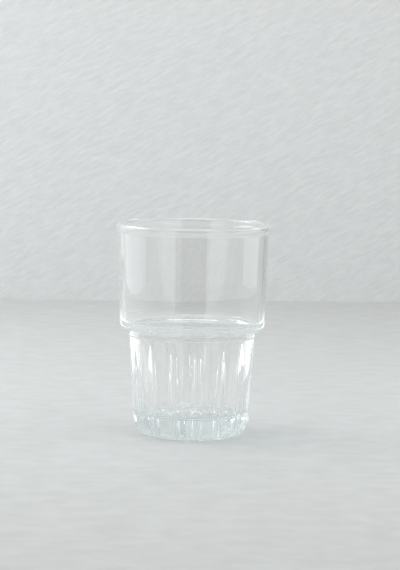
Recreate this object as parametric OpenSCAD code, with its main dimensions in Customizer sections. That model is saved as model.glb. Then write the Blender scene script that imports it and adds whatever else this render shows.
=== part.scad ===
// Pressed glass tumbler that stacks: a wide, plain bowl over a narrow, fluted skirt.
// The whole glass is one piece. Each of its forms has a module of its own below.
// The origin is the centre of the foot, on the table, with +Z up along the axis.

/* [Bowl] */
// Height from the table to the top of the rim
glass_h = 116; // [106:1:128]
// Diameter over the bead at the rim
rim_d = 85; // [80:0.5:92]
// How far the bead stands out from the wall below it
bead_proud = 1; // [0.6:0.1:1.6]
// Height of the bead, down to where it dies away in the wall
bead_h = 5.2; // [4.6:0.1:7]
// Thickness of the bowl's wall
bowl_wall = 2.9; // [2.2:0.1:3.6]
// Outer diameter of the bowl where its wall meets the shoulder
shoulder_d = 80; // [76:0.5:82]
// Height from the table to the underside of the shoulder
shoulder_z = 57.9; // [52:0.5:64]
// Thickness of the shoulder, which is the ledge inside
shoulder_t = 3.1; // [2.6:0.1:5]
// Radius of the shoulder's rounded outer edge
shoulder_round = 3; // [2:0.1:4]
// Radius of the fillet between the bowl's wall and the ledge
bowl_fillet = 2; // [1:0.1:2.4]
// Radius of the ledge's rounded inner edge
ledge_round = 1.2; // [0.8:0.1:1.6]

/* [Skirt] */
// How far the skirt's wall stands in from the bowl's, at the shoulder
shoulder_step = 5.2; // [4.4:0.1:6]
// Height of the plain band between the shoulder and the flutes
band_h = 3.4; // [2:0.1:8]
// How far the plain band stands out from the fluted wall
band_proud = 0.35; // [0.2:0.05:0.6]
// How far the skirt's straight wall leans in, from the shoulder down to the table
skirt_taper = 3.7; // [2.5:0.1:5]
// Thickness of the skirt's wall at its top, level with the ledge
skirt_wall_top = 2.2; // [2:0.1:3.2]
// Thickness of the skirt's wall at the inner floor, where the flutes are deeper
skirt_wall_floor = 3.3; // [2.8:0.1:4.5]
// Radius of the fillet round the inner floor
well_fillet = 3.2; // [1.5:0.1:5]

/* [Flutes] */
// Number of flutes round the skirt
flute_count = 16; // [12:1:20]
// Depth of a flute at the top of the rounded foot
flute_depth = 1.6; // [0.8:0.05:1.8]
// Radius of the round bottom of a flute
flute_r = 5; // [4.5:0.25:8]
// Gap between the plain band and the pointed tops of the flutes
flute_top_gap = 0.8; // [0.4:0.1:3]
// Depth that is left of a flute at the contact ring
flute_ring_depth = 0.25; // [0.1:0.05:0.6]
// Angle from the front, which faces -Y, round to the middle of the nearest flute
flute_turn = 5.6; // [-10:0.2:10]

/* [Foot] */
// Radius of the rounded foot
foot_round = 11.5; // [9:0.25:12.5]
// How far the contact ring stands in from where the skirt's wall would meet the table
ring_inset = 4.9; // [4:0.1:6]
// Width of the flat contact ring
ring_w = 3.4; // [2:0.1:5]
// Depth of the hollow under the base
punt_depth = 1.5; // [0.6:0.1:2.5]
// Thickness of the base, from the table to the inner floor
base_t = 11; // [8:0.5:14]

/* [Hidden] */
$fn = 96;
// Most that one straight step of a rounded stretch may turn, in degrees
round_turn = 7.5;

rim_r = rim_d / 2;
bowl_r = rim_r - bead_proud;
bead_z = glass_h - bead_h;
shoulder_r = shoulder_d / 2;
ledge_z = shoulder_z + shoulder_t;
neck_r = shoulder_r - shoulder_step;
skirt_foot_r = neck_r - skirt_taper;
ring_r = skirt_foot_r - ring_inset;
band_z = shoulder_z - band_h;
flute_top_z = band_z - band_proud - flute_top_gap;

// Lean of each straight wall from the upright
bowl_lean = atan((bowl_r - shoulder_r) / (bead_z - ledge_z));
skirt_lean = atan(skirt_taper / shoulder_z);
well_spread = skirt_wall_floor - skirt_wall_top;
well_lean = atan(tan(skirt_lean) + well_spread / (ledge_z - base_t));

// Radius of each straight wall at a height
function bowl_at(z) = shoulder_r + (z - ledge_z) * tan(bowl_lean);
function cavity_at(z) = bowl_at(z) - bowl_wall / cos(bowl_lean);
function skirt_at(z) = skirt_foot_r + z * tan(skirt_lean);
function well_at(z) = skirt_at(base_t) - skirt_wall_floor + (z - base_t) * tan(well_lean);

// Points along a round stretch of an outline
function arc(centre, radius, start, end) =
    let (steps = ceil(abs(end - start) / round_turn))
    [for (i = [0 : steps])
        let (turn = start + (end - start) * i / steps)
        centre + radius * [cos(turn), sin(turn)]];

// Radius, from the axis, of the centre of a round that lies inside a leaning wall
function round_centre_r(wall_r, lean, radius) = wall_r - radius / cos(lean);

// The rounded foot touches the skirt's wall and runs down to the contact ring
foot_slope = tan(skirt_lean);
foot_reach = ring_r - round_centre_r(skirt_foot_r, skirt_lean, foot_round);
foot_root = sqrt(pow(foot_reach * foot_slope, 2)
    - (1 + pow(foot_slope, 2)) * (pow(foot_reach, 2) - pow(foot_round, 2)));
foot_z = (foot_reach * foot_slope + foot_root) / (1 + pow(foot_slope, 2));
foot_centre = [round_centre_r(skirt_at(foot_z), skirt_lean, foot_round), foot_z];
foot_end_turn = -asin(foot_z / foot_round);

// Stretch of the outline that is the rounded foot, up from the contact ring
function foot_points() = arc(foot_centre, foot_round, foot_end_turn, -skirt_lean);

// The plain band stands a little proud of the wall, and ends at the shoulder
function band_points() = [
    [skirt_at(band_z - band_proud), band_z - band_proud],
    [skirt_at(band_z) + band_proud, band_z],
    [skirt_at(shoulder_z) + band_proud, shoulder_z]
];

// The shoulder's underside is level, and its edge is rounded up into the bowl's wall
function shoulder_points() =
    let (z = shoulder_z + shoulder_round)
    let (centre = [round_centre_r(bowl_at(z), bowl_lean, shoulder_round), z])
    arc(centre, shoulder_round, -90, -bowl_lean);

// The rim is one round, from the bead's outer edge over the top to the wall inside
rim_round = (rim_r - cavity_at(glass_h)) / (1 + 1 / cos(bowl_lean) - tan(bowl_lean));
rim_centre = [rim_r - rim_round, glass_h - rim_round];
bead_foot = [bowl_at(bead_z), bead_z];
bead_offset = rim_centre - bead_foot;
bead_swell = atan2(bead_offset[0], bead_offset[1]) + asin(rim_round / norm(bead_offset));
function rim_points() = concat(
    [bead_foot],
    arc(rim_centre, rim_round, -bead_swell, 180 - bowl_lean)
);

// Inside the bowl, a fillet joins the wall to the level ledge
function bowl_fillet_points() =
    let (z = ledge_z + bowl_fillet)
    let (centre = [round_centre_r(cavity_at(z), bowl_lean, bowl_fillet), z])
    arc(centre, bowl_fillet, -bowl_lean, -90);

// The ledge's inner edge is rounded down into the well
function ledge_points() =
    let (z = ledge_z - ledge_round)
    let (centre = [well_at(z) + ledge_round / cos(well_lean), z])
    arc(centre, ledge_round, 90, 180 - well_lean);

// Inside the well, a fillet joins the wall to the level floor
function well_fillet_points() =
    let (z = base_t + well_fillet)
    let (centre = [round_centre_r(well_at(z), well_lean, well_fillet), z])
    arc(centre, well_fillet, -well_lean, -90);

// Direction of a flute's middle, counted round from the front
function flute_angle(i) = flute_turn - 90 + i * 360 / flute_count;

// The glass before it is fluted: one outline, turned about the axis from between two flutes
module blank() {
    rotate([0, 0, flute_angle(1 / 2)]) rotate_extrude() polygon(concat(
        [[0, 0]],
        foot_points(),
        band_points(),
        shoulder_points(),
        rim_points(),
        bowl_fillet_points(),
        ledge_points(),
        well_fillet_points(),
        [[0, base_t]]
    ));
}

// A flute's cutter is a rod whose middle line runs down the skirt, at a steeper lean than
// the wall, so that the flute starts in a point and grows wider and deeper
rod_top = [
    skirt_at(flute_top_z) + flute_r * cos(skirt_lean),
    flute_top_z - flute_r * sin(skirt_lean)
];
rod_reach = foot_round + flute_r - flute_depth;
rod_offset = rod_top - foot_centre;
rod_lean = acos(rod_reach / norm(rod_offset)) - atan2(rod_offset[1], rod_offset[0]);
rod_end = foot_centre + rod_reach * [cos(rod_lean), -sin(rod_lean)];
rod_run = norm(rod_top - rod_end);

// The rod then bends in under the foot, so wide that the flute fades at the contact ring
ring_reach = foot_round + flute_r - flute_ring_depth;
bend_extra = (pow(ring_reach, 2) - pow(rod_reach, 2))
    / (2 * (rod_reach - ring_reach * cos(foot_end_turn + rod_lean)));
bend_r = rod_reach + bend_extra;

// Both of its stretches have their seam on the side that bites, along the flute's middle
module flute_cutter() {
    translate([rod_end[0], 0, rod_end[1]]) rotate([0, rod_lean, 0]) {
        rotate([0, 0, 180]) cylinder(h = rod_run, r = flute_r);
        translate([-bend_r, 0, 0]) rotate([90, 0, 0]) rotate([0, 0, -90])
            rotate_extrude(angle = 90) translate([bend_r, 0])
                rotate([0, 0, 180]) circle(flute_r);
    }
}

// The skirt with its flutes, cut one after another into the blank
module fluted(count) {
    if (count == 0) {
        blank();
    } else {
        difference() {
            fluted(count - 1);
            rotate([0, 0, flute_angle(count)]) flute_cutter();
        }
    }
}

// The shallow hollow under the base, inside the contact ring
punt_r = ring_r - ring_w;
punt_ball_r = (pow(punt_r, 2) + pow(punt_depth, 2)) / (2 * punt_depth);
module punt() {
    translate([0, 0, punt_depth - punt_ball_r]) sphere(punt_ball_r);
}

module tumbler() {
    color([0.86, 0.93, 0.91, 0.55]) difference() {
        fluted(flute_count);
        punt();
    }
}

tumbler();
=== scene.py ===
# %% [markdown]
# # A pressed glass tumbler that stacks
#
# The real object is one piece of clear pressed glass: a wide plain bowl with a bead at its rim,
# a shoulder that steps in, and a narrower skirt with upright flutes and a thick rounded foot.
# This lesson turns one outline about the axis, presses the flutes into the skirt by a formula,
# and lets the glass bend and tint the light as the real one does.

# %% Load the frame
import math
import bpy
import bmesh
from mathutils import Matrix, Vector, noise


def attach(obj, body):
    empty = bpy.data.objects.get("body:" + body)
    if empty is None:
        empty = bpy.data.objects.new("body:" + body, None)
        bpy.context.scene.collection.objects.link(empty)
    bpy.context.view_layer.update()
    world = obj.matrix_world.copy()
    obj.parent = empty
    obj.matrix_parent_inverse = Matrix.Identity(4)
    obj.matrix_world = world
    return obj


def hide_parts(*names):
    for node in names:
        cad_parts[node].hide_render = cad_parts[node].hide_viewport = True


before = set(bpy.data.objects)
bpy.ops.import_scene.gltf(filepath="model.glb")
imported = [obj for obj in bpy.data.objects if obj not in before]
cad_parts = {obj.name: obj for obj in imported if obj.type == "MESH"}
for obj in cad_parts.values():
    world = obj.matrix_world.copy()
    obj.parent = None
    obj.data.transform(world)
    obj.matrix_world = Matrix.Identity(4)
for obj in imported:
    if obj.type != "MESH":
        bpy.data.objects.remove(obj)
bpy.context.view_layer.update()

# %% [markdown]
# All lengths of the glass are written in millimetres, as a glass maker would, and turned into
# metres where a vertex is made. Two helpers draw the round and the straight stretches of an
# outline, and a third finds a value between two others.

# %% Units and small helpers
MM = 0.001


def arc(centre, radius, start, end, steps):
    """Points along part of a circle. The angles are in degrees."""
    turns = [math.radians(start + (end - start) * i / steps) for i in range(steps + 1)]
    return [(centre[0] + radius * math.cos(t), centre[1] + radius * math.sin(t)) for t in turns]


def rise(radius_at, low, high, steps):
    """Points along a leaning wall, whose radius is a formula of the height."""
    heights = [low + (high - low) * i / steps for i in range(steps + 1)]
    return [(radius_at(z), z) for z in heights]


def mix(a, b, t):
    """The value that lies the share t of the way from a to b."""
    return a + (b - a) * t


print("helpers ready, 1 mm is", MM, "m")

# %% [markdown]
# ## The outline
#
# A tumbler is a body of revolution before its mould presses the flutes in. Its outline is one
# line from the middle of the underside, out over the foot, up the skirt, round the shoulder and
# the rim, and down inside again. Four of its stretches are straight walls that lean a little.

# %% Sizes of the walls
HEIGHT = 116.0
RIM_R = 42.48
BEAD_Z = 110.8
BOWL_TOP_R = 41.5
SHOULDER_R = 40.0
SHOULDER_Z = 57.9
LEDGE_Z = 61.0
BOWL_WALL = 2.9
NECK_R = 34.8
SKIRT_FOOT_R = 31.1
BASE_T = 11.0
WALL_AT_LEDGE = 2.2
WALL_AT_FLOOR = 3.3

BOWL_SLOPE = (BOWL_TOP_R - SHOULDER_R) / (BEAD_Z - LEDGE_Z)
SKIRT_SLOPE = (NECK_R - SKIRT_FOOT_R) / SHOULDER_Z
WELL_SLOPE = SKIRT_SLOPE + (WALL_AT_FLOOR - WALL_AT_LEDGE) / (LEDGE_Z - BASE_T)
BOWL_LEAN = math.degrees(math.atan(BOWL_SLOPE))
SKIRT_LEAN = math.degrees(math.atan(SKIRT_SLOPE))
WELL_LEAN = math.degrees(math.atan(WELL_SLOPE))


def bowl_at(z):
    """Radius of the bowl's outer wall at a height."""
    return SHOULDER_R + (z - LEDGE_Z) * BOWL_SLOPE


def cavity_at(z):
    """Radius of the bowl's inner wall at a height."""
    return bowl_at(z) - BOWL_WALL / math.cos(math.radians(BOWL_LEAN))


def skirt_at(z):
    """Radius of the skirt's outer wall at a height, between its flutes."""
    return SKIRT_FOOT_R + z * SKIRT_SLOPE


def well_at(z):
    """Radius of the well, the narrow lower part of the inside, at a height."""
    return skirt_at(BASE_T) - WALL_AT_FLOOR + (z - BASE_T) * WELL_SLOPE


def centre_r(wall_r, lean, radius):
    """Radius of the centre of a round that touches a leaning wall from inside it."""
    return wall_r - radius / math.cos(math.radians(lean))


print("leans in degrees:", round(BOWL_LEAN, 2), round(SKIRT_LEAN, 2), round(WELL_LEAN, 2))

# %% [markdown]
# ## Underside and foot
#
# The glass stands on a narrow ring. Inside the ring the base is slightly hollow, so that it
# can't rock, and outside it a large round runs up into the skirt.

# %% Underside and rounded foot
FOOT_ROUND = 11.5
RING_R = 26.2
RING_W = 3.4
PUNT_DEPTH = 1.5

reach = RING_R - centre_r(SKIRT_FOOT_R, SKIRT_LEAN, FOOT_ROUND)
inner = (reach * SKIRT_SLOPE) ** 2 - (1 + SKIRT_SLOPE ** 2) * (reach ** 2 - FOOT_ROUND ** 2)
FOOT_Z = (reach * SKIRT_SLOPE + math.sqrt(inner)) / (1 + SKIRT_SLOPE ** 2)
FOOT_R = centre_r(skirt_at(FOOT_Z), SKIRT_LEAN, FOOT_ROUND)
FOOT_TURN = -math.degrees(math.asin(FOOT_Z / FOOT_ROUND))

punt_r = RING_R - RING_W
punt_ball = (punt_r ** 2 + PUNT_DEPTH ** 2) / (2 * PUNT_DEPTH)
punt_turn = math.degrees(math.asin(punt_r / punt_ball))
underside = arc((0, PUNT_DEPTH - punt_ball), punt_ball, 90, 90 - punt_turn, steps=8)
underside[0] = (0.0, PUNT_DEPTH)
foot = arc((FOOT_R, FOOT_Z), FOOT_ROUND, FOOT_TURN, -SKIRT_LEAN, steps=18)
FOOT_TOP_Z = foot[-1][1]
outline = underside + foot
print("foot round ends at", round(FOOT_TOP_Z, 2), "mm")

# %% [markdown]
# ## Skirt, band and shoulder
#
# Under the shoulder a plain band stands a third of a millimetre proud of the fluted wall. The
# shoulder's underside is level, so that the glass sits in the rim of the next one in a stack.
#
# Smooth shading would smear a corner over the whole wall beside it. So each corner of the band
# gets a few points close together, and a straight stretch ends a little before the next round.

# %% Skirt, band and shoulder
BAND_H = 3.4
BAND_PROUD = 0.35
SHOULDER_ROUND = 3.0
GAP_FOOT = 1.1
GAP_BAND = 0.25
CORNER = 0.5
CORNER_NEAR = 0.12

band_z = SHOULDER_Z - BAND_H
band_foot_z = band_z - BAND_PROUD
outline += rise(skirt_at, FOOT_TOP_Z + GAP_FOOT, band_foot_z - GAP_BAND, steps=40)
outline += [
    (skirt_at(band_foot_z) + 0.02, band_foot_z),
    (skirt_at(band_z) + 0.6 * BAND_PROUD, band_z - CORNER_NEAR),
    (skirt_at(band_z) + 0.93 * BAND_PROUD, band_z + 0.1),
    (skirt_at(band_z + CORNER) + BAND_PROUD, band_z + CORNER),
    (skirt_at(SHOULDER_Z - CORNER) + BAND_PROUD, SHOULDER_Z - CORNER),
    (skirt_at(SHOULDER_Z) + BAND_PROUD + CORNER_NEAR, SHOULDER_Z - CORNER_NEAR),
    (skirt_at(SHOULDER_Z) + BAND_PROUD + CORNER, SHOULDER_Z),
]
shoulder_top_z = SHOULDER_Z + SHOULDER_ROUND
shoulder_turn_r = centre_r(bowl_at(shoulder_top_z), BOWL_LEAN, SHOULDER_ROUND)
outline += arc((shoulder_turn_r, shoulder_top_z), SHOULDER_ROUND, -90, -BOWL_LEAN, steps=12)
print("outline has", len(outline), "points up to the shoulder")

# %% [markdown]
# ## Bowl, bead and rim
#
# The bowl's wall swells softly into the bead, and the rim is one round from the bead's outer
# edge over the top to the wall inside. Fire polishing leaves it without an edge.

# %% Bowl, bead and rim
GAP = 1.0
flare = 1 + 1 / math.cos(math.radians(BOWL_LEAN)) - BOWL_SLOPE
RIM_ROUND = (RIM_R - cavity_at(HEIGHT)) / flare
RIM_Z = HEIGHT - RIM_ROUND


def swelling(z):
    """Radius of the bowl's wall where it swells into the bead."""
    t = (z - BEAD_Z) / (RIM_Z - BEAD_Z)
    soft = t * t * (3 - 2 * t)
    return mix(bowl_at(z), RIM_R, soft)


outline += rise(bowl_at, shoulder_top_z + GAP, BEAD_Z - GAP, steps=12)
outline += rise(swelling, BEAD_Z, RIM_Z, steps=8)
outline += arc((RIM_R - RIM_ROUND, RIM_Z), RIM_ROUND, 0, 180 - BOWL_LEAN, steps=20)[1:]
print("rim is", round(2 * RIM_ROUND, 2), "mm thick")

# %% [markdown]
# ## Inside
#
# A fillet joins the bowl's wall to the ledge, the ledge rounds down into the well, and another
# fillet joins the well's wall to the floor.

# %% Inside of the bowl and the well
BOWL_FILLET = 2.0
LEDGE_ROUND = 1.2
WELL_FILLET = 3.2
GAP_RIM = 2.5
FLOOR_RINGS = 6

fillet_z = LEDGE_Z + BOWL_FILLET
fillet_r = centre_r(cavity_at(fillet_z), BOWL_LEAN, BOWL_FILLET)
outline += rise(cavity_at, RIM_Z - GAP_RIM, fillet_z + GAP, steps=12)
outline += arc((fillet_r, fillet_z), BOWL_FILLET, -BOWL_LEAN, -90, steps=8)

ledge_turn_z = LEDGE_Z - LEDGE_ROUND
ledge_turn_r = well_at(ledge_turn_z) + LEDGE_ROUND / math.cos(math.radians(WELL_LEAN))
outline += arc((ledge_turn_r, ledge_turn_z), LEDGE_ROUND, 90, 180 - WELL_LEAN, steps=7)

low_z = BASE_T + WELL_FILLET
floor_r = centre_r(well_at(low_z), WELL_LEAN, WELL_FILLET)
outline += rise(well_at, ledge_turn_z - GAP, low_z + GAP, steps=14)
outline += arc((floor_r, low_z), WELL_FILLET, -WELL_LEAN, -90, steps=8)
outline += [(floor_r * (1 - i / FLOOR_RINGS), BASE_T) for i in range(1, FLOOR_RINGS + 1)]
print("outline has", len(outline), "points in all")

# %% [markdown]
# ## Turning the outline
#
# The spin tool turns the outline about the axis, as a lathe or a turned mould would. Its first
# and last points lie on the axis, so their copies are merged into poles.

# %% Spin the outline
FLUTES = 16
COLUMNS = 30
shape = bmesh.new()
ring = [shape.verts.new((r * MM, 0, z * MM)) for r, z in outline]
lines = [shape.edges.new(pair) for pair in zip(ring, ring[1:])]
bmesh.ops.spin(shape, geom=ring + lines, cent=(0, 0, 0), axis=(0, 0, 1), dvec=(0, 0, 0),
               angle=2 * math.pi, steps=FLUTES * COLUMNS, use_merge=True, use_duplicate=False)
bmesh.ops.remove_doubles(shape, verts=shape.verts, dist=1e-7)
bmesh.ops.recalc_face_normals(shape, faces=shape.faces)
print("turned:", len(shape.verts), "vertices,", len(shape.faces), "faces")

# %% [markdown]
# ## Pressing the flutes
#
# A flute starts in a point under the band, and grows wider and deeper down to the top of the
# foot, where it bends in and fades at the ring. Cutting with a boolean would leave ragged edges.
# Here each vertex of the skirt moves in by a formula instead: the flute's section is a hollow
# round, and its edge is softened as fire polishing softens it.
#
# The photo's flutes shine, so their flanks must be steep enough to turn the view right round to
# the sides. The section here is therefore a little tighter and deeper than the solid's round of
# 5 mm radius and 1.6 mm depth, at nearly the same width, and it deepens sooner below its point.

# %% Depth and width of a flute
FLUTE_TURN = 5.6
FLUTE_DEPTH = 2.3
FLUTE_R = 3.4
FLUTE_GROWTH = 0.75
FLUTE_TOP_GAP = 0.8
FLUTE_TOP_Z = band_foot_z - FLUTE_TOP_GAP
RING_DEPTH = 0.25
EDGE_SOFT = 0.10
HALVINGS = 14
PITCH = 2 * math.pi / FLUTES
foot_sweep = -SKIRT_LEAN - FOOT_TURN


def flute_depth(r, z):
    """Depth in the middle of a flute, at a place on the outer wall."""
    if z > FOOT_TOP_Z:
        share = max(0.0, (FLUTE_TOP_Z - z) / (FLUTE_TOP_Z - FOOT_TOP_Z))
        return FLUTE_DEPTH * share ** FLUTE_GROWTH
    turn = math.degrees(math.atan2(z - FOOT_Z, r - FOOT_R))
    share = min(1.0, max(0.0, (turn - FOOT_TURN) / foot_sweep))
    return mix(RING_DEPTH, FLUTE_DEPTH, math.sin(share * math.pi / 2))


def bottom_of(depth, across, r):
    """Depth of the flute's round bottom below the wall, negative outside the flute."""
    if across >= FLUTE_R:
        return -FLUTE_R
    round_rise = FLUTE_R - math.sqrt(FLUTE_R ** 2 - across ** 2)
    return depth - round_rise - across ** 2 / (2 * r)


def half_width(depth, r):
    """Distance from the middle of a flute to its edge, found by halving."""
    low, high = 0.0, FLUTE_R
    for _ in range(HALVINGS):
        middle = (low + high) / 2
        if bottom_of(depth, middle, r) > 0:
            low = middle
        else:
            high = middle
    return low


def bite(depth, across, r):
    """How far the wall moves in, with the flute's edge softened."""
    v = bottom_of(depth, abs(across), r)
    return 0.5 * (v + math.sqrt(v * v + EDGE_SOFT ** 2))


widest = half_width(FLUTE_DEPTH, SKIRT_FOOT_R)
print("a flute is up to", FLUTE_DEPTH, "mm deep and", round(2 * widest, 1), "mm wide")

# %% [markdown]
# Only the skirt's outer wall is pressed, so each vertex is first tested for lying on it. It will
# move square to the wall, and on the rounded foot that direction turns with the round. The
# columns of vertices also close in on each flute's edges, so that every edge follows a line of
# the mesh.

# %% Where the skirt's outer wall is
ON_WALL = 0.05
ABOVE_POINT = 0.6
COLUMNS_INSIDE = 0.7
NARROWEST = 0.22
WIDEST = 0.88


def outer_normal(r, z):
    """The wall's direction outwards as (radius, height), or None away from the fluted wall."""
    if z > FLUTE_TOP_Z + ABOVE_POINT or z < -0.01 or r < RING_R - ON_WALL:
        return None
    if z > FOOT_TOP_Z + 0.02:
        if abs(r - skirt_at(z)) > ON_WALL:
            return None
        return (math.cos(math.radians(SKIRT_LEAN)), -math.sin(math.radians(SKIRT_LEAN)))
    if abs(math.hypot(r - FOOT_R, z - FOOT_Z) - FOOT_ROUND) > ON_WALL:
        return None
    return ((r - FOOT_R) / FOOT_ROUND, (z - FOOT_Z) / FOOT_ROUND)


def drawn_in(turn, half):
    """Moves a column's angle so that seven tenths of the columns lie inside the flute."""
    u = turn / (PITCH / 2)
    half = min(WIDEST, max(NARROWEST, half / (PITCH / 2)))
    if abs(u) <= COLUMNS_INSIDE:
        return u / COLUMNS_INSIDE * half * (PITCH / 2)
    outside = (abs(u) - COLUMNS_INSIDE) / (1 - COLUMNS_INSIDE)
    return math.copysign(mix(half, 1.0, outside), u) * (PITCH / 2)


print("one flute and one ridge take", round(math.degrees(PITCH), 2), "degrees")

# %% [markdown]
# Now the wall is pressed. A vertex's angle says in which flute it lies and how far from the
# flute's middle, and its height says how deep the flute is there. A mould isn't perfectly even,
# so the depth also varies by a few hundredths of itself, from flute to flute and along each.

# %% Move the skirt's vertices
UNEVEN = 0.04
front = math.pi / 2 - math.radians(FLUTE_TURN)
pressed = 0
for v in shape.verts:
    x, y, z = (c / MM for c in v.co)
    r = math.hypot(x, y)
    normal = outer_normal(r, z)
    if normal is None:
        continue
    angle = math.atan2(y, x) + front
    number = round(angle / PITCH)
    turn = angle - number * PITCH
    depth = flute_depth(r, z)
    turn = drawn_in(turn, half_width(depth, r) / r)
    depth *= 1 + UNEVEN * noise.noise((number % FLUTES, 3.1, z / 40))
    inward = bite(depth, turn * r, r)
    angle = number * PITCH + turn - front
    r_new = r - inward * normal[0]
    v.co = Vector((r_new * math.cos(angle), r_new * math.sin(angle), z - inward * normal[1])) * MM
    pressed += 1
print("pressed", pressed, "vertices")

# %% [markdown]
# ## Small waves
#
# A plunger and a mould leave faint waves in pressed glass. They are far too small to see as
# shape, but they bend what is seen through the wall, so the inner wall gets a few hundredths of
# a millimetre of them.

# %% Waves on the inner wall
LONG_WAVE = (26.0, 0.03)
SHORT_WAVE = (9.0, 0.006)


def wave(point, size, height):
    """A soft random height at a place, with bumps of about that size."""
    return noise.noise(point / size) * height


def on_inner_wall(r, z):
    """Whether a place lies on the well's or the bowl's inner wall, away from their ends."""
    in_well = BASE_T + 1 < z < LEDGE_Z - 1 and r < well_at(z) + ON_WALL
    in_bowl = LEDGE_Z + 1 < z < HEIGHT - 4 and r < cavity_at(z) + ON_WALL
    return r > 1 and (in_well or in_bowl)


for v in shape.verts:
    p = v.co / MM
    r = math.hypot(p.x, p.y)
    if on_inner_wall(r, p.z):
        move = wave(p, *LONG_WAVE) + wave(p, *SHORT_WAVE)
        v.co.x += move * MM * p.x / r
        v.co.y += move * MM * p.y / r
print("waves laid on the inner wall, up to about", LONG_WAVE[1] + SHORT_WAVE[1], "mm high")

# %% [markdown]
# The shape is done, so it becomes a mesh object that stays at the origin. All its faces are
# shaded smooth, because fire polishing leaves no sharp edge anywhere on the glass.

# %% Finish the mesh
tumbler_mesh = bpy.data.meshes.new("tumbler_glass")
shape.to_mesh(tumbler_mesh)
shape.free()
tumbler_mesh.polygons.foreach_set("use_smooth", [True] * len(tumbler_mesh.polygons))
tumbler = bpy.data.objects.new("tumbler_glass", tumbler_mesh)
bpy.context.collection.objects.link(tumbler)
print(tumbler.name, "is", [round(d / MM, 2) for d in tumbler.dimensions], "mm")

# %% [markdown]
# ## The glass
#
# Clear soda-lime glass bends light by 1.52. A trace of iron takes a little red out of it, so it
# looks colourless where it is thin and cool green where one looks along the wall or through the
# base. An absorbing volume gives that by itself, because it counts the length of each ray. The
# skin's own colour is a trace below white, for what a handled glass loses at its surface.

# %% Glass material
glass = bpy.data.materials.new("clear_pressed_glass")
glass.use_nodes = True
nodes = glass.node_tree.nodes
links = glass.node_tree.links
skin = nodes["Principled BSDF"]
skin.inputs["Base Color"].default_value = (0.988, 0.99, 0.988, 1.0)
skin.inputs["Metallic"].default_value = 0.0
skin.inputs["Roughness"].default_value = 0.0
skin.inputs["IOR"].default_value = 1.52
skin.inputs["Transmission Weight"].default_value = 1.0
inside_glass = nodes.new("ShaderNodeVolumeAbsorption")
inside_glass.inputs["Color"].default_value = (0.50, 0.89, 0.93, 1.0)
inside_glass.inputs["Density"].default_value = 2.2
links.new(inside_glass.outputs["Volume"], nodes["Material Output"].inputs["Volume"])
print("glass bends light by", skin.inputs["IOR"].default_value)

# %% [markdown]
# The mould's metal has a faint grain, which the glass keeps in its skin. A very weak bump from
# a noise pattern makes reflections break up softly instead of being perfect mirrors.

# %% Faint grain of the mould
place = nodes.new("ShaderNodeTexCoord")
grain = nodes.new("ShaderNodeTexNoise")
grain.inputs["Scale"].default_value = 40.0
grain.inputs["Detail"].default_value = 2.0
bump = nodes.new("ShaderNodeBump")
bump.inputs["Strength"].default_value = 0.5
bump.inputs["Distance"].default_value = 0.00004
links.new(place.outputs["Object"], grain.inputs["Vector"])
links.new(grain.outputs["Fac"], bump.inputs["Height"])
links.new(bump.outputs["Normal"], skin.inputs["Normal"])
tumbler_mesh.materials.append(glass)
print("grain bump of", bump.inputs["Distance"].default_value, "m")

# %% [markdown]
# Light that runs round inside the shoulder and the rim turns back and forth more often than the
# renderer follows it, and would come out black. Real glass lets it out in the end, as pale as
# the room. So a ray that has already turned many times meets a painted glow instead: the glass
# emits a fixed pale colour there, in place of that light.

# %% Painted glow for light trapped in the glass
TURNS_FOLLOWED = 5.5
path = nodes.new("ShaderNodeLightPath")
often = nodes.new("ShaderNodeMath")
often.operation = "GREATER_THAN"
often.inputs[1].default_value = TURNS_FOLLOWED
# Painted glow: a fixed pale emission stands in for the light that real glass lets out.
painted_glow = nodes.new("ShaderNodeEmission")
painted_glow.inputs["Color"].default_value = (0.70, 0.74, 0.74, 1.0)
either = nodes.new("ShaderNodeMixShader")
links.new(path.outputs["Ray Depth"], often.inputs[0])
links.new(often.outputs["Value"], either.inputs["Fac"])
links.new(skin.outputs["BSDF"], either.inputs[1])
links.new(painted_glow.outputs["Emission"], either.inputs[2])
print("trapped light is let out after", TURNS_FOLLOWED, "turns")

# %% [markdown]
# A renderer without caustics gives glass a shadow as dark as stone's. Most light does get
# through, so rays that look for a lamp pass through the glass with a small loss.

# %% Light through the glass to the table
clear = nodes.new("ShaderNodeBsdfTransparent")
clear.inputs["Color"].default_value = (0.84, 0.87, 0.87, 1.0)
lit = nodes.new("ShaderNodeMixShader")
links.new(path.outputs["Is Shadow Ray"], lit.inputs["Fac"])
links.new(either.outputs["Shader"], lit.inputs[1])
links.new(clear.outputs["BSDF"], lit.inputs[2])
links.new(lit.outputs["Shader"], nodes["Material Output"].inputs["Surface"])
print("each surface passes", round(clear.inputs["Color"].default_value[1], 2), "of a lamp's light")

# %% [markdown]
# The piece rides on the part's one body, and stands in for the solid of the same glass.

# %% Hand the glass to the frame
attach(tumbler, "root")
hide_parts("tumbler")
print("tumbler rides on root")

# %% [markdown]
# ## Table and wall
#
# The glass stands on a pale table in front of a pale plastered wall. Both get the same gentle
# mottle, which is a node group, so that each can use it with its own size.

# %% Mottle as a node group
mottle = bpy.data.node_groups.new("Mottle", "ShaderNodeTree")
mottle.interface.new_socket("Vector", in_out="INPUT", socket_type="NodeSocketVector")
mottle.interface.new_socket("Scale", in_out="INPUT", socket_type="NodeSocketFloat")
mottle.interface.new_socket("Fac", in_out="OUTPUT", socket_type="NodeSocketFloat")
entry = mottle.nodes.new("NodeGroupInput")
leave = mottle.nodes.new("NodeGroupOutput")
clouds = mottle.nodes.new("ShaderNodeTexNoise")
clouds.inputs["Detail"].default_value = 6.0
clouds.inputs["Roughness"].default_value = 0.6
mottle.links.new(entry.outputs["Vector"], clouds.inputs["Vector"])
mottle.links.new(entry.outputs["Scale"], clouds.inputs["Scale"])
mottle.links.new(clouds.outputs["Fac"], leave.inputs["Fac"])
print("group", mottle.name, "has", len(mottle.nodes), "nodes")

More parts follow.
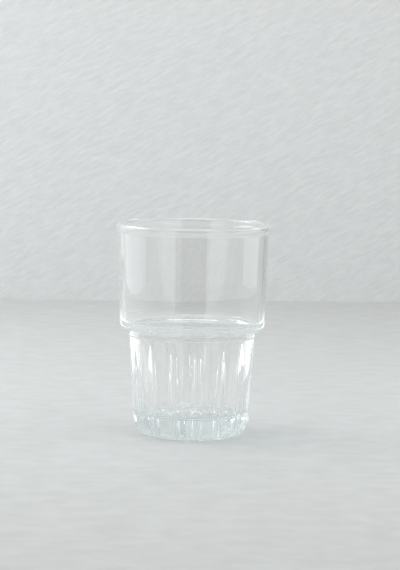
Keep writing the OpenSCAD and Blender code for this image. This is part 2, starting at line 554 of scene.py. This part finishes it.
# %% [markdown]
# Plaster is matt. The mottle drives both its colour, between two close tones, and its relief. It
# is stretched and turned first, so that it runs in slanting streaks, as a trowel leaves them.

# %% Plaster material
STREAK_SLANT = -32


def plaster(name, dark, light, stretch, scale, depth):
    """A matt, pale finish that varies between two colours, with a fine relief."""
    mat = bpy.data.materials.new(name)
    mat.use_nodes = True
    tree = mat.node_tree
    skin = tree.nodes["Principled BSDF"]
    skin.inputs["Roughness"].default_value = 0.85
    skin.inputs["Specular IOR Level"].default_value = 0.25
    where = tree.nodes.new("ShaderNodeTexCoord")
    fit = tree.nodes.new("ShaderNodeMapping")
    fit.vector_type = "TEXTURE"
    fit.inputs["Scale"].default_value = stretch
    fit.inputs["Rotation"].default_value = (0, math.radians(STREAK_SLANT), 0)
    group = tree.nodes.new("ShaderNodeGroup")
    group.node_tree = mottle
    group.inputs["Scale"].default_value = scale
    ramp = tree.nodes.new("ShaderNodeValToRGB")
    ramp.color_ramp.elements[0].position = 0.35
    ramp.color_ramp.elements[0].color = (*dark, 1)
    ramp.color_ramp.elements[1].position = 0.65
    ramp.color_ramp.elements[1].color = (*light, 1)
    relief = tree.nodes.new("ShaderNodeBump")
    relief.inputs["Strength"].default_value = 0.7
    relief.inputs["Distance"].default_value = depth
    tree.links.new(where.outputs["Object"], fit.inputs["Vector"])
    tree.links.new(fit.outputs["Vector"], group.inputs["Vector"])
    tree.links.new(group.outputs["Fac"], ramp.inputs["Fac"])
    tree.links.new(ramp.outputs["Color"], skin.inputs["Base Color"])
    tree.links.new(group.outputs["Fac"], relief.inputs["Height"])
    tree.links.new(relief.outputs["Normal"], skin.inputs["Normal"])
    return mat


table_finish = plaster("table_plaster", (0.522, 0.534, 0.529), (0.567, 0.579, 0.575),
                       stretch=(1.6, 1, 1), scale=80.0, depth=0.0006)
wall_finish = plaster("wall_plaster", (0.68, 0.693, 0.694), (0.735, 0.75, 0.75),
                      stretch=(3.0, 1, 0.8), scale=260.0, depth=0.0008)
print("finishes:", table_finish.name, wall_finish.name)

# %% [markdown]
# Table and wall are flat sheets, in metres. A matrix stands the wall upright behind the table,
# turned by a few degrees, so that the line where they meet slopes as in the photo.

# %% Table and wall
WALL_Y = 0.696
WALL_TURN = 5
WALL_SIZE = (0.9, 0.5)
TABLE_SIZE = (1.2, 1.16)
TABLE_MIDDLE = (0.02, WALL_Y - 0.53, 0.0)


def sheet(name, size, place, finish):
    """A flat sheet from a grid, laid by a matrix."""
    flat = bmesh.new()
    stretch = Matrix.Diagonal((size[0] / 2, size[1] / 2, 1, 1))
    bmesh.ops.create_grid(flat, x_segments=1, y_segments=1, size=1, matrix=place @ stretch)
    mesh = bpy.data.meshes.new(name)
    flat.to_mesh(mesh)
    flat.free()
    mesh.materials.append(finish)
    piece = bpy.data.objects.new(name, mesh)
    bpy.context.collection.objects.link(piece)


upright = Matrix.Rotation(math.pi / 2, 4, "X")
turned = Matrix.Rotation(math.radians(WALL_TURN), 4, "Z") @ upright
wall_place = Matrix.Translation((0.0, WALL_Y, WALL_SIZE[1] / 2)) @ turned
sheet("table", TABLE_SIZE, Matrix.Translation(TABLE_MIDDLE), table_finish)
sheet("wall", WALL_SIZE, wall_place, wall_finish)
print("table and wall meet", WALL_Y, "m behind the glass")

# %% [markdown]
# ## Light
#
# Glass has no colour of its own to show: it shows the room. The room is a pale glow. Behind the
# camera, a darker and warmer doorway stands between two paler stretches of wall. There is a wide
# window on the left, a narrower one on the right, a skylight above, and a high window at the back
# on the left that throws the shadow. Their edges draw the stripes in the bowl and in the flutes.
#
# The glow is the world's. A few Math nodes split its directions into left, right, front and
# back. A direction's slope sideways says where it meets the wall behind the camera.

# %% Levels and directions of the room
FRONT_LEVEL = 0.57
LEFT_BACK_LEVEL = 0.85
RIGHT_BACK_LEVEL = 0.5
FRONT_WALL_RISE = 0.5
DOORWAY_DROP = 0.95
DOORWAY = (-0.53, 0.38)
FRONT_WALL = (-1.5, 1.4)
world = bpy.data.worlds.new("room")
bpy.context.scene.world = world
world.use_nodes = True
tree = world.node_tree
glow = tree.nodes["Background"]
way = tree.nodes.new("ShaderNodeTexCoord")
split = tree.nodes.new("ShaderNodeSeparateXYZ")
tree.links.new(way.outputs["Generated"], split.inputs["Vector"])


def calc(operation, first, second):
    """The output of a Math node whose inputs are sockets or numbers."""
    node = tree.nodes.new("ShaderNodeMath")
    node.operation = operation
    for slot, value in zip(node.inputs, (first, second)):
        if isinstance(value, (int, float)):
            slot.default_value = value
        else:
            tree.links.new(value, slot)
    return node.outputs[0]


towards = calc("MULTIPLY", split.outputs["Y"], -1.0)
sideways = calc("DIVIDE", split.outputs["X"], calc("MAXIMUM", towards, 0.01))
facing = calc("GREATER_THAN", towards, 0.0)


def between(left, right):
    """A mask of the upright stripe of the room, behind the camera, between two directions."""
    both = calc("MULTIPLY", calc("GREATER_THAN", sideways, left),
                calc("LESS_THAN", sideways, right))
    return calc("MULTIPLY", both, facing)


print("room in front", FRONT_LEVEL, "and at the back", LEFT_BACK_LEVEL, RIGHT_BACK_LEVEL)

# %% [markdown]
# The levels are now added up: the two halves of the back, the front, and what the paler wall
# adds to it. Then the doorway's drop is taken off. The doorway's light is also warmer.

# %% World
doorway = between(*DOORWAY)
front_wall = between(*FRONT_WALL)
behind = calc("GREATER_THAN", split.outputs["Y"], 0.0)
to_right = calc("GREATER_THAN", split.outputs["X"], 0.0)
back = calc("ADD", LEFT_BACK_LEVEL,
            calc("MULTIPLY", to_right, RIGHT_BACK_LEVEL - LEFT_BACK_LEVEL))
room = calc("ADD", calc("MULTIPLY", behind, back),
            calc("MULTIPLY", calc("SUBTRACT", 1.0, behind), FRONT_LEVEL))
paler = calc("ADD", room, calc("MULTIPLY", front_wall, FRONT_WALL_RISE))
brightness = calc("SUBTRACT", paler, calc("MULTIPLY", doorway, DOORWAY_DROP))
tree.links.new(brightness, glow.inputs["Strength"])
warmth = tree.nodes.new("ShaderNodeMix")
warmth.data_type = "RGBA"
warmth.inputs["A"].default_value = (1.0, 1.0, 1.0, 1.0)
warmth.inputs["B"].default_value = (1.0, 0.80, 0.55, 1.0)
tree.links.new(doorway, warmth.inputs["Factor"])
tree.links.new(warmth.outputs["Result"], glow.inputs["Color"])
print("doorway's level", round(FRONT_LEVEL + FRONT_WALL_RISE - DOORWAY_DROP, 2))

# %% [markdown]
# Windows are soft rectangular lamps, which the camera doesn't see directly. The two side windows
# show in the glass as reflections. Behind the glass they are hidden, so that it doesn't frame a
# bright rectangle when it is looked at from the side.

# %% Windows
DAYLIGHT = (0.96, 0.985, 1.0)


def window(name, place, target, width, height, brightness):
    """A soft rectangular light. Its power follows from its size and its brightness."""
    lamp = bpy.data.lights.new(name, "AREA")
    lamp.shape = "RECTANGLE"
    lamp.size = width
    lamp.size_y = height
    lamp.energy = brightness * math.pi * width * height
    lamp.color = DAYLIGHT
    holder = bpy.data.objects.new(name, lamp)
    bpy.context.collection.objects.link(holder)
    aim = Vector(target) - Vector(place)
    holder.location = place
    holder.rotation_euler = aim.to_track_quat("-Z", "Y").to_euler()
    holder.visible_camera = False
    return holder


sides = [
    window("window_left", (-0.68, 0.12, 0.33), target=(0.0, 0.0, 0.10),
           width=0.72, height=0.8, brightness=1.25),
    window("window_right", (0.70, 0.10, 0.33), target=(0.0, 0.0, 0.10),
           width=0.5, height=0.8, brightness=1.35),
]
for side in sides:
    side.visible_transmission = False
window("skylight", (0.0, -0.1, 1.4), target=(0.0, 0.0, 0.0),
       width=0.9, height=0.9, brightness=2.1)
window("window_high", (-0.75, 0.25, 0.75), target=(0.05, 0.30, 0.0),
       width=0.45, height=0.45, brightness=4.6)
print("four soft lights")

# %% [markdown]
# Low cards of light stand on the table just outside the picture. Seen through the steep flanks
# of the flutes, they make the bright streaks in the skirt. They show in the glass only, and
# throw no light on the table.

# %% Cards
CARD_X = 0.16
CARD_Y = 0.17
CARD_Z = 0.016
cards = [
    window("card_left", (-CARD_X, CARD_Y, CARD_Z), target=(0.0, CARD_Y, CARD_Z),
           width=0.25, height=0.03, brightness=1.15),
    window("card_right", (CARD_X, CARD_Y, CARD_Z), target=(0.0, CARD_Y, CARD_Z),
           width=0.25, height=0.03, brightness=1.3),
]
for card in cards:
    card.visible_diffuse = False
print("a card of light on each side")

# %% [markdown]
# ## Camera
#
# The picture looks slightly down at the glass from about 1.4 m, so the rim is a narrow ellipse
# and the shoulder curves a little. The glass stands a few pixels left of the picture's middle,
# and the picture is turned by almost a degree.

# %% Camera
FOCAL_PX = 2616
PICTURE_H_PX = 570
LEFT_OF_MIDDLE_PX = 7.1
SENSOR_MM = 36.0
LOOK_DOWN = 5.65
ROLL = 0.9
lens = bpy.data.cameras.new("camera")
lens.sensor_fit = "VERTICAL"
lens.sensor_height = SENSOR_MM
lens.lens = FOCAL_PX / PICTURE_H_PX * SENSOR_MM
camera = bpy.data.objects.new("camera", lens)
bpy.context.collection.objects.link(camera)
camera.location = (0.0, -1.425, 0.223)
yaw = Matrix.Rotation(-math.atan(LEFT_OF_MIDDLE_PX / FOCAL_PX), 4, "Z")
pitch = Matrix.Rotation(math.radians(90 - LOOK_DOWN), 4, "X")
roll = Matrix.Rotation(math.radians(ROLL), 4, "Z")
camera.rotation_euler = (yaw @ pitch @ roll).to_euler()
bpy.context.scene.camera = camera
bpy.context.scene.view_settings.view_transform = "Standard"
print("camera looks down by", LOOK_DOWN, "degrees")
